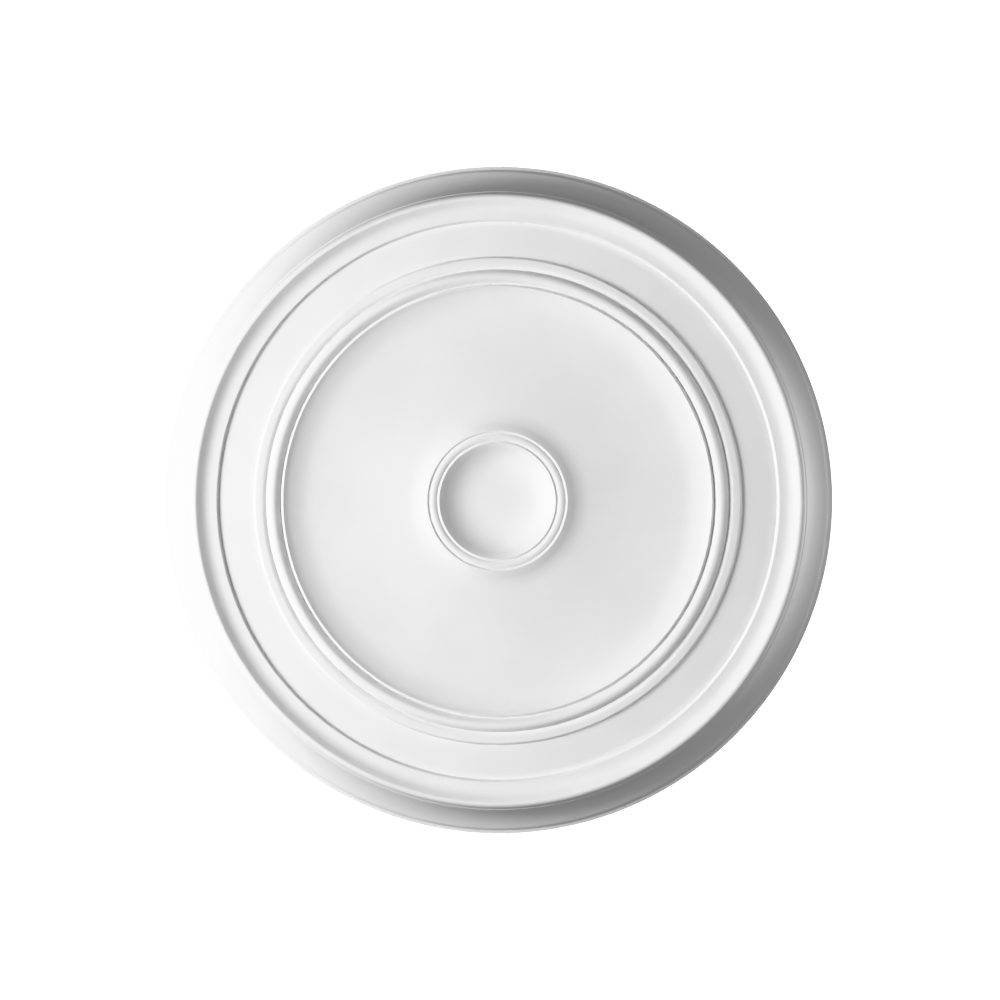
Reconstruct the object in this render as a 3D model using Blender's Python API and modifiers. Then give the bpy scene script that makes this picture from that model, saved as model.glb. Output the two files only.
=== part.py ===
# Ceiling rose: one round moulded piece, fixed flat against a ceiling.
#
# The back is flat and lies in the ceiling's plane, z = 0, and the moulded face looks down.
# Lengths are in metres. Slopes are in degrees: a positive slope runs back towards the
# ceiling on its way out from the centre, and a negative one comes down from it.

import math
from collections import namedtuple

import bmesh
import bpy

NAME = "ceiling_rose"

RADIUS = 0.3100         # of the whole rose
PROJECTION = 0.0600     # from the ceiling down to the arrises of the centre ring
RIM_EDGE = 0.0060       # upright edge that meets the ceiling
CREST_LEVEL = 0.0530    # levels are distances below the ceiling
TORUS_LEVEL = 0.0566
FIELD_LEVEL = 0.0472    # where the broad field is nearest the ceiling
BEAD_LEVEL = 0.0599
DISH_LEVEL = 0.0455     # floor of the centre dish

TURN_STEPS = 72         # flats round the turned shape
HANDLE_SHARE = 0.37     # length of a curve's handles, as a share of its chord
SHARP_ANGLE = math.radians(28)
MERGE_DISTANCE = 0.00001

PRIMER_COLOUR = (0.80, 0.80, 0.79, 1.0)
PRIMER_ROUGHNESS = 0.6

# The members of the profile from the rim to the centre, each starting where the last one
# ends. A member has the radius and level of its inner end, and a curved one also has its
# slope at its outer end, its slope at its inner end and its number of chords.
Member = namedtuple("Member", "name radius level slope_out slope_in chords", defaults=(None, None, 1))
MEMBERS = (
    Member("rim edge", RADIUS, RIM_EDGE),
    Member("rim slope", 0.3067, 0.0079),
    Member("rim step", 0.3052, 0.0113),
    Member("outer sweep foot", 0.2955, 0.0230, 44, 57, 4),
    Member("outer sweep wall", 0.2855, 0.0445, 57, 69, 3),
    Member("ledge", 0.2849, 0.0448),
    Member("crest wall", 0.2837, 0.0491),
    Member("crest nose", 0.2795, CREST_LEVEL, 64, 3, 5),
    Member("crest shoulder", 0.2779, 0.0525, 3, -37, 2),
    Member("crest inner side", 0.2740, 0.0494),
    Member("outer cove", 0.2660, 0.0469, -36, 0, 4),
    Member("outer cove lead-in", 0.2597, 0.0474),
    Member("band step", 0.2578, 0.0435),
    Member("band", 0.2256, 0.0474),
    Member("fillet drop", 0.2237, 0.0517),
    Member("fillet", 0.2178, 0.0522),
    Member("fillet inner edge", 0.2136, 0.0502, -4, -32, 3),
    Member("torus outer side", 0.2112, 0.0545, 69, 53, 2),
    Member("torus outer round", 0.2069, TORUS_LEVEL, 53, 0, 3),
    Member("torus inner round", 0.2042, 0.0557, 0, -34, 2),
    Member("torus inner side", 0.2018, 0.0541),
    Member("inner quirk", 0.2003, 0.0514),
    Member("lip drop", 0.1981, 0.0553),
    Member("lip", 0.1975, 0.0554),
    Member("inner cove upper", 0.1905, 0.0514, -39, -21, 2),
    Member("inner cove", 0.1692, FIELD_LEVEL, -21, -2.5, 4),
    Member("field", 0.0893, 0.0510, -2, 6, 4),
    Member("centre sweep", 0.0745, 0.0541, 6, 21.5, 3),
    Member("centre sweep rise", 0.0700, 0.0564),
    Member("centre sweep top", 0.0646, PROJECTION),
    Member("bead outer quirk", 0.0628, 0.0584),
    Member("bead outer side", 0.0591, BEAD_LEVEL, 42, 0, 2),
    Member("bead inner side", 0.0555, 0.0584, 0, -40, 2),
    Member("dish arris", 0.0536, PROJECTION),
    Member("dish wall", 0.0470, 0.0536),
    Member("dish cove", 0.0155, DISH_LEVEL, -40, 0, 3),
)


def clear_scene():
    for item in list(bpy.data.objects):
        bpy.data.objects.remove(item, do_unlink=True)


def make_collection(name):
    collection = bpy.data.collections.new(name)
    bpy.context.scene.collection.children.link(collection)
    return collection


def make_primer():
    material = bpy.data.materials.new("white_primer")
    material.use_nodes = True
    shader = material.node_tree.nodes["Principled BSDF"]
    shader.inputs["Base Color"].default_value = PRIMER_COLOUR
    shader.inputs["Roughness"].default_value = PRIMER_ROUGHNESS
    shader.inputs["Metallic"].default_value = 0.0
    return material


def inward_handle(point, slope, length):
    """The point a given length from point, going inwards along a surface of that slope."""
    angle = math.radians(slope)
    return (point[0] - length * math.cos(angle), point[1] + length * math.sin(angle))


def member_points(start, member):
    """Points along one member after its start, as (radius, level)."""
    end = (member.radius, member.level)
    if member.slope_out is None:
        return [end]
    reach = HANDLE_SHARE * math.dist(start, end)
    leaving = inward_handle(start, member.slope_out, reach)
    arriving = inward_handle(end, member.slope_in, -reach)
    corners = (start, leaving, arriving, end)
    points = []
    for step in range(1, member.chords + 1):
        t = step / member.chords
        weights = ((1 - t) ** 3, 3 * t * (1 - t) ** 2, 3 * t * t * (1 - t), t ** 3)
        points.append(tuple(sum(w * c[axis] for w, c in zip(weights, corners)) for axis in (0, 1)))
    return points


def profile():
    """The whole half section: out along the back, round the rim and in to the axis."""
    points = [(0.0, 0.0), (RADIUS, 0.0)]
    for member in MEMBERS:
        points += member_points(points[-1], member)
    points.append((0.0, DISH_LEVEL))
    return points


def turned(name, points, collection, material):
    """A solid of revolution about Z from points of (radius, level below the ceiling)."""
    mesh = bpy.data.meshes.new(name)
    section = bmesh.new()
    verts = [section.verts.new((radius, 0.0, -level)) for radius, level in points]
    for one, other in zip(verts, verts[1:]):
        section.edges.new((one, other))
    section.to_mesh(mesh)
    section.free()
    mesh.materials.append(material)

    solid = bpy.data.objects.new(name, mesh)
    collection.objects.link(solid)
    screw = solid.modifiers.new("turn", 'SCREW')
    screw.axis = 'Z'
    screw.angle = math.tau
    screw.steps = TURN_STEPS
    screw.render_steps = TURN_STEPS
    screw.use_merge_vertices = True
    screw.merge_threshold = MERGE_DISTANCE
    screw.use_smooth_shade = True

    # The modifier is applied, so that edges sharper than SHARP_ANGLE can be marked.
    graph = bpy.context.evaluated_depsgraph_get()
    solid.data = bpy.data.meshes.new_from_object(solid.evaluated_get(graph))
    solid.modifiers.clear()
    solid.data.shade_smooth()
    solid.data.set_sharp_from_angle(angle=SHARP_ANGLE)
    bpy.data.meshes.remove(mesh)
    solid.data.name = name
    return solid


def main():
    clear_scene()
    rose = make_collection(NAME)
    turned(NAME, profile(), rose, make_primer())


main()
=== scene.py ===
# A round moulded ceiling rose in matt white primer, looked at from below in a plain white studio.
# Metres throughout. The flat back lies in the ceiling's plane, z = 0, and the moulded face looks down.

import math

import bmesh
import bpy
from mathutils import Matrix, Vector


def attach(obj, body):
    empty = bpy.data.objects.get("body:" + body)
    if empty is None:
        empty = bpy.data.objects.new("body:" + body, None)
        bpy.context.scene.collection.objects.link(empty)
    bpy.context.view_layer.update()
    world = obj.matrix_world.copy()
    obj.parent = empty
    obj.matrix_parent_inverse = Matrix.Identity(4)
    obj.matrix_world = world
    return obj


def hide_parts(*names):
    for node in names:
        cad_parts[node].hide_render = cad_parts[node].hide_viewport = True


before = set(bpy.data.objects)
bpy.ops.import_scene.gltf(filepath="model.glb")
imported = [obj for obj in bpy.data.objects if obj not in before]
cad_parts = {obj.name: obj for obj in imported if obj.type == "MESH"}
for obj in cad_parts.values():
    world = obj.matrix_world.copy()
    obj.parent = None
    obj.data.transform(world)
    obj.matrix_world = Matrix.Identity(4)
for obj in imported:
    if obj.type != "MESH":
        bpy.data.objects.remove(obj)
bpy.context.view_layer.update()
print("frame loaded:", ", ".join(sorted(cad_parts)))


# The rose is one turned moulding. Its half section is drawn from the rim to the centre, member by
# member. Each row is a member's name and the radius and depth below the ceiling where it ends.
# A curved one also has the slope where it starts and where it ends, in degrees, and its chords.
rose = {
    "name": "rose_moulding",
    "radius": 0.3100,
    "members": [
        ("rim edge", 0.3100, 0.0060),
        ("rim slope", 0.3067, 0.0079, 20, 38, 4),
        ("rim step", 0.3052, 0.0113),
        ("outer sweep foot", 0.2955, 0.0230, 44, 57, 9),
        ("outer sweep wall", 0.2855, 0.0445, 57, 69, 8),
        ("ledge", 0.2849, 0.0448),
        ("crest wall", 0.2837, 0.0491),
        ("crest nose", 0.2795, 0.0530, 64, 3, 9),
        ("crest shoulder", 0.2779, 0.0525, 3, -37, 4),
        ("crest inner side", 0.2740, 0.0494, -37, -36, 2),
        ("outer cove", 0.2660, 0.0469, -36, 0, 10),
        ("outer cove lead-in", 0.2597, 0.0474, 0, 8, 3),
        ("band step", 0.2578, 0.0435),
        ("band", 0.2256, 0.0474, 8, 6, 6),
        ("fillet drop", 0.2237, 0.0517),
        ("fillet", 0.2178, 0.0522, 7, 2, 4),
        ("fillet inner edge", 0.2136, 0.0502, -4, -32, 5),
        ("torus outer side", 0.2112, 0.0545, 69, 53, 5),
        ("torus outer round", 0.2069, 0.0566, 53, 0, 6),
        ("torus inner round", 0.2042, 0.0557, 0, -34, 5),
        ("torus inner side", 0.2018, 0.0541),
        ("inner quirk", 0.2003, 0.0514),
        ("lip drop", 0.1981, 0.0553),
        ("lip", 0.1975, 0.0554, 48, -38, 6),
        ("inner cove upper", 0.1905, 0.0514, -39, -21, 5),
        ("inner cove", 0.1692, 0.0472, -21, -2.5, 12),
        ("field", 0.0893, 0.0510, -2, 6, 10),
        ("centre sweep", 0.0745, 0.0541, 6, 21.5, 9),
        ("centre sweep rise", 0.0700, 0.0564, 21.5, 33, 4),
        ("centre sweep top", 0.0646, 0.0600),
        ("bead outer quirk", 0.0628, 0.0584),
        ("bead outer side", 0.0591, 0.0599, 42, 0, 6),
        ("bead inner side", 0.0555, 0.0584, 0, -40, 6),
        ("dish arris", 0.0536, 0.0600),
        ("dish wall", 0.0470, 0.0536),
        ("dish cove", 0.0155, 0.0455, -40, 0, 14),
    ],
    "handleShare": 0.37,       # length of a curve's handles, as a share of its chord
    "backRings": [0.10, 0.20, 0.29],
    "turnSteps": 360,
    # arrises that the mould leaves a little round, and by how much
    "softArrises": {
        "rim edge": 0.0005, "rim slope": 0.0003, "outer sweep wall": 0.0002, "ledge": 0.0002,
        "outer cove lead-in": 0.0005, "band step": 0.0002, "band": 0.0003, "fillet drop": 0.0002,
        "centre sweep top": 0.0005,
        "dish arris": 0.0003, "dish wall": 0.0006,
    },
    "softSegments": 3,
    "smoothAngle": 32,
    "pickDistance": 1e-5,      # a vertex this near an arris is the arris
    "mergeDistance": 1e-6,
}


def deselectAll():
    bpy.ops.object.select_all(action='DESELECT')


def inward(point, slope, length):
    # the point that far in along a surface of that slope
    angle = math.radians(slope)
    return (point[0] - length * math.cos(angle), point[1] + length * math.sin(angle))


def memberPoints(start, member):
    end = (member[1], member[2])
    if len(member) == 3:
        return [end]
    slopeOut, slopeIn, chords = member[3:]
    reach = rose["handleShare"] * math.dist(start, end)
    corners = (start, inward(start, slopeOut, reach), inward(end, slopeIn, -reach), end)
    points = []
    for step in range(1, chords + 1):
        t = step / chords
        weights = ((1 - t) ** 3, 3 * t * (1 - t) ** 2, 3 * t * t * (1 - t), t ** 3)
        points.append(tuple(sum(w * c[axis] for w, c in zip(weights, corners)) for axis in (0, 1)))
    return points


def drawSection():
    # one vertex at the middle of the back, drawn out along the back, over the rim and in to the axis
    points = [(radius, 0.0) for radius in rose["backRings"]] + [(rose["radius"], 0.0)]
    arrises = {}
    for member in rose["members"]:
        points += memberPoints(points[-1], member)
        if member[0] in rose["softArrises"]:
            arrises[points[-1]] = rose["softArrises"][member[0]]
    points.append((0.0, points[-1][1]))

    deselectAll()
    bpy.ops.mesh.primitive_plane_add(size=0.01, location=(0, 0, 0))
    section = bpy.context.object
    section.name = section.data.name = rose["name"]
    bpy.ops.object.mode_set(mode='EDIT')
    bpy.ops.mesh.merge(type='CENTER')
    last = (0.0, 0.0)
    for point in points:
        step = (point[0] - last[0], 0, last[1] - point[1])
        bpy.ops.mesh.extrude_region_move(TRANSFORM_OT_translate={"value": step})
        last = point

    # arrises of one softness are rounded together
    for softness in sorted(set(arrises.values())):
        corners = [Vector((point[0], 0, -point[1])) for point, soft in arrises.items() if soft == softness]
        bpy.ops.mesh.select_all(action='DESELECT')
        drawn = bmesh.from_edit_mesh(section.data)
        for vert in drawn.verts:
            if any((vert.co - corner).length < rose["pickDistance"] for corner in corners):
                vert.select = True
        drawn.select_flush_mode()
        bmesh.update_edit_mesh(section.data)
        bpy.ops.mesh.bevel(offset=softness, segments=rose["softSegments"], affect='VERTICES')
    return section


def turnRose():
    section = drawSection()
    bpy.ops.mesh.select_all(action='SELECT')
    bpy.ops.mesh.spin(steps=rose["turnSteps"], angle=math.tau, center=(0, 0, 0), axis=(0, 0, 1))
    bpy.ops.mesh.select_all(action='SELECT')
    bpy.ops.mesh.remove_doubles(threshold=rose["mergeDistance"])
    bpy.ops.mesh.normals_make_consistent(inside=False)
    bpy.ops.object.mode_set(mode='OBJECT')
    bpy.ops.object.shade_smooth_by_angle(angle=math.radians(rose["smoothAngle"]))
    return section


roseMoulding = turnRose()
print("rose turned:", len(roseMoulding.data.vertices), "points")


# Materials. A Shade holds one socket, so that shader maths reads as plain sums.
class Shade:
    def __init__(self, tree, socket=None):
        self.tree, self.socket = tree, socket

    def node(self, kind, settings, sockets, output=0):
        # its settings come first, and then its sockets, each a number, a colour or a Shade
        made = self.tree.nodes.new(kind)
        for name, value in settings.items():
            setattr(made, name, value)
        for name, value in sockets.items():
            if isinstance(value, Shade):
                value.feed(made.inputs[name])
            else:
                made.inputs[name].default_value = value
        return Shade(self.tree, made.outputs[output])

    def feed(self, socket):
        self.tree.links.new(self.socket, socket)

    def math(self, operation, *values):
        return self.node("ShaderNodeMath", {"operation": operation}, dict(enumerate(values)))

    def __add__(self, other):
        return self.math('ADD', self, other)

    def __radd__(self, other):
        return self.math('ADD', other, self)

    def __sub__(self, other):
        return self.math('SUBTRACT', self, other)

    def __rsub__(self, other):
        return self.math('SUBTRACT', other, self)

    def __mul__(self, other):
        return self.math('MULTIPLY', self, other)

    def __rmul__(self, other):
        return self.math('MULTIPLY', other, self)

    def root(self):
        return self.math('SQRT', self)

    def axis(self, letter):
        return self.node("ShaderNodeSeparateXYZ", {}, {"Vector": self}, letter)

    def ramp(self, low, high):
        # 0 below low, 1 above high and smooth between
        return self.node("ShaderNodeMapRange", {"interpolation_type": 'SMOOTHSTEP'},
                         {"Value": self, "From Min": low, "From Max": high}, "Result")

    def noise(self, scale, detail):
        return self.node("ShaderNodeTexNoise", {},
                         {"Vector": self, "Scale": scale, "Detail": detail}, "Fac")

    def blend(self, low, high):
        # the colour low where this is 0 and high where it is 1
        factor, first, second, result = 0, 6, 7, 2      # a colour Mix node's sockets
        return self.node("ShaderNodeMix", {"data_type": 'RGBA'},
                         {factor: self, first: low, second: high}, result)


primer = {
    "name": "white_primer",
    "light": (0.835, 0.835, 0.835, 1),
    "dark": (0.805, 0.805, 0.805, 1),
    "tone": (0.35, 0.65),        # span of the spray's unevenness from dark to light
    "toneGrain": 0.4,            # share of that unevenness that is fine grain
    "sheen": 0.3,                # specular level of the dry, chalky coat
    "roughness": (0.60, 0.70),
    "cloudScale": 16,            # slow unevenness, about 60 mm across
    "peelScale": 420,            # spray texture, about 2 mm across
    "grainScale": 1500,
    "reliefGrain": 0.3,          # share of the relief that is fine grain
    "relief": 0.00004,
}

# bare foam skin on the back
backSkin = {
    "light": (0.80, 0.785, 0.75, 1),
    "dark": (0.72, 0.70, 0.655, 1),
    "tone": (0.3, 0.9),
    "cloudWeight": 0.7,          # what the clouds and the pores each darken
    "poreWeight": 0.5,
    "roughen": 0.12,             # rougher than the primer by this
    "poreScale": 520,
    "pores": (0.60, 0.72),       # how much of the noise is a pore
    "poreDepth": 2.0,            # as a share of the primer's relief
    "level": (-0.0006, -0.0002),   # heights between which the rim's edge turns into the back
    "overspray": (0.296, 0.307),   # radii between which primer reached round the rim
    "wander": 0.008,             # how far the overspray's edge wanders
}


def makePrimer():
    material = bpy.data.materials.new(primer["name"])
    material.use_nodes = True
    tree = material.node_tree
    shader = tree.nodes["Principled BSDF"]
    place = Shade(tree).node("ShaderNodeTexCoord", {}, {}, "Object")
    x, y, z = place.axis("X"), place.axis("Y"), place.axis("Z")
    radius = (x * x + y * y).root()

    clouds = place.noise(primer["cloudScale"], 3)
    peel = place.noise(primer["peelScale"], 2)
    grain = place.noise(primer["grainScale"], 1)

    sprayed = (radius + clouds * backSkin["wander"]).ramp(*backSkin["overspray"])
    bare = z.ramp(*backSkin["level"]) * (1 - sprayed)
    pores = place.noise(backSkin["poreScale"], 2).ramp(*backSkin["pores"])
    mottle = clouds * (1 - primer["toneGrain"]) + grain * primer["toneGrain"]
    coat = mottle.ramp(*primer["tone"]).blend(primer["dark"], primer["light"])
    stain = clouds * backSkin["cloudWeight"] + pores * backSkin["poreWeight"]
    skin = stain.ramp(*backSkin["tone"]).blend(backSkin["light"], backSkin["dark"])
    bare.blend(coat, skin).feed(shader.inputs["Base Color"])

    low, high = primer["roughness"]
    (low + (high - low) * peel + backSkin["roughen"] * bare).feed(shader.inputs["Roughness"])
    texture = peel * (1 - primer["reliefGrain"]) + grain * primer["reliefGrain"]
    height = texture - bare * pores * backSkin["poreDepth"]
    bump = height.node("ShaderNodeBump", {}, {"Height": height, "Distance": primer["relief"]})
    bump.feed(shader.inputs["Normal"])
    shader.inputs["Specular IOR Level"].default_value = primer["sheen"]
    return material


roseMoulding.data.materials.clear()
roseMoulding.data.materials.append(makePrimer())
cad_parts["ceiling_rose"].data.materials.clear()
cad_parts["ceiling_rose"].data.materials.append(roseMoulding.data.materials[0])
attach(roseMoulding, "root")
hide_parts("ceiling_rose")
print("primer sprayed")


# Studio. Directions are as the camera sees them: azimuth 0 is to the right of the picture and 90
# above it, and elevation is how far a light stands out from the ceiling towards the camera.
studio = {
    "floorDepth": -7.0,
    "floorSize": 90.0,
    "floorColour": (0.86, 0.86, 0.855, 1),
    "floorRoughness": 0.9,
    "floorGlow": 0.85,           # a lit table, so that the floor is pale from any side
    "skyStrength": 0.30,         # faint light from overhead, in the new world's own dark grey
    "middle": (0, 0, -0.04),     # where the lamps point
    "lights": {
        "keyUpper": {"azimuth": 160, "elevation": 45, "distance": 4.0, "size": 1.1, "strength": 0.211},
        "keyHigh": {"azimuth": 182, "elevation": 50, "distance": 4.0, "size": 1.1, "strength": 0.221},
        "keyMiddle": {"azimuth": 182, "elevation": 35, "distance": 4.0, "size": 1.1, "strength": 0.254},
        "keyLow": {"azimuth": 182, "elevation": 20, "distance": 4.0, "size": 1.1, "strength": 0.102},
        "keyLower": {"azimuth": 204, "elevation": 45, "distance": 4.0, "size": 1.1, "strength": 0.251},
        "behindLeft": {"azimuth": 182, "elevation": -15, "distance": 3.4, "size": 0.9, "strength": 0.212},
        "fill": {"azimuth": 0, "elevation": 35, "distance": 2.8, "size": 1.0, "strength": 0.151},
        "behindRight": {"azimuth": 0, "elevation": -40, "distance": 2.8, "size": 1.0, "strength": 0.286},
    },
    "nearRight": {"place": (0.75, 0, -0.15), "aim": (0.27, 0, -0.04), "size": 0.12, "strength": 0.152},
    "aboveBack": {"place": (0.10, 0.15, 3.0), "aim": (0, 0, 0), "size": 1.0, "strength": 0.36},
    "horizonTone": 0.74,         # the backdrop meets the floor in the floor's own tone
    "overheadTone": 2.2,
    "toneRise": (0.25, 0.60),    # heights of view between which it brightens
}


def pictureDirection(azimuth, elevation):
    a, e = math.radians(azimuth), math.radians(elevation)
    return Vector((math.cos(a) * math.cos(e), -math.sin(a) * math.cos(e), -math.sin(e)))


def addLight(name, place, aim, size, strength):
    deselectAll()
    bpy.ops.object.light_add(type='AREA', location=place)
    light = bpy.context.object
    light.name = light.data.name = name
    light.data.shape = 'DISK'
    light.data.size = size
    light.visible_camera = False
    away = Vector(aim) - Vector(place)
    light.rotation_euler = away.to_track_quat('-Z', 'Y').to_euler()
    light.data.energy = strength * 4 * math.pi * away.length_squared   # as bright at any distance
    return light


def addStage():
    deselectAll()
    bpy.ops.mesh.primitive_plane_add(size=studio["floorSize"], location=(0, 0, studio["floorDepth"]))
    floor = bpy.context.object
    floor.name = "floor"
    pale = bpy.data.materials.new("pale_floor")
    pale.use_nodes = True
    shader = pale.node_tree.nodes["Principled BSDF"]
    shader.inputs["Base Color"].default_value = studio["floorColour"]
    shader.inputs["Roughness"].default_value = studio["floorRoughness"]
    shader.inputs["Emission Color"].default_value = studio["floorColour"]
    shader.inputs["Emission Strength"].default_value = studio["floorGlow"]
    floor.data.materials.append(pale)
    floor.visible_diffuse = floor.visible_glossy = floor.visible_shadow = False

    for name, light in studio["lights"].items():
        direction = pictureDirection(light["azimuth"], light["elevation"])
        place = direction * light["distance"]
        addLight(name, place, studio["middle"], light["size"], light["strength"])
    for name in ("nearRight", "aboveBack"):
        addLight(name, **studio[name])

    world = bpy.data.worlds.new("white_studio")
    bpy.context.scene.world = world
    world.use_nodes = True
    tree = world.node_tree
    glow = tree.nodes["Background"]
    up = Shade(tree).node("ShaderNodeTexCoord", {}, {}, "Generated").axis("Z")
    (up.math('MAXIMUM', up, 0.0) * studio["skyStrength"]).feed(glow.inputs["Strength"])
    horizon, overhead = studio["horizonTone"], studio["overheadTone"]
    tone = horizon + (overhead - horizon) * up.ramp(*studio["toneRise"])
    seen = tone.node("ShaderNodeBackground", {}, {"Color": (1, 1, 1, 1), "Strength": tone})
    byCamera = tone.node("ShaderNodeLightPath", {}, {}, "Is Camera Ray")
    lit = Shade(tree, glow.outputs["Background"])
    sky = byCamera.node("ShaderNodeMixShader", {}, {0: byCamera, 1: lit, 2: seen})
    sky.feed(tree.nodes["World Output"].inputs["Surface"])


camera = {
    "distance": 6.0,
    "offset": (0.125, -0.072),    # a little off the rose's axis, to the right of the picture and above
    "aim": (0.00114, -0.0002),    # the point of the ceiling at the middle of the picture
    "frameWidth": 0.9304,        # width of ceiling that the picture takes in
    "sensor": 36.0,
    "clip": (0.05, 100),
}


def addCamera():
    data = bpy.data.cameras.new("camera")
    made = bpy.data.objects.new("camera", data)
    bpy.context.scene.collection.objects.link(made)
    place = Vector((*camera["offset"], -camera["distance"]))
    forward = Vector((*camera["aim"], 0)) - place
    data.sensor_width = camera["sensor"]
    data.lens = camera["sensor"] * forward.length / camera["frameWidth"]
    forward.normalize()
    right = (Vector((1, 0, 0)) - forward * forward.x).normalized()
    up = (-forward).cross(right)
    made.matrix_world = Matrix.Translation(place) @ Matrix((right, up, -forward)).transposed().to_4x4()
    data.clip_start, data.clip_end = camera["clip"]
    bpy.context.scene.camera = made


# The film: even from mid to light grey, with lifted shadows and a soft shoulder short of white.
# Each pair is how bright a place is and how bright it is shown.
film = {
    "whitest": 2.0,              # this bright and over comes out pure white
    "shadows": [(0.12, 0.190), (0.17, 0.215), (0.23, 0.236), (0.28, 0.28)],
    "shoulder": [(0.86, 0.86), (1.00, 0.934), (1.15, 0.980), (1.35, 0.992)],
}


def setFilm():
    view = bpy.context.scene.view_settings
    view.view_transform = 'Standard'
    view.use_curve_mapping = True
    curves = view.curve_mapping
    curves.white_level = (film["whitest"],) * 3
    points = curves.curves[-1].points      # the curve of all three colours together
    for bright, shown in film["shadows"] + film["shoulder"]:
        points.new(bright / film["whitest"], shown)
    for point in points:
        point.handle_type = 'VECTOR'
    curves.update()


addStage()
addCamera()
setFilm()
print("studio set up")
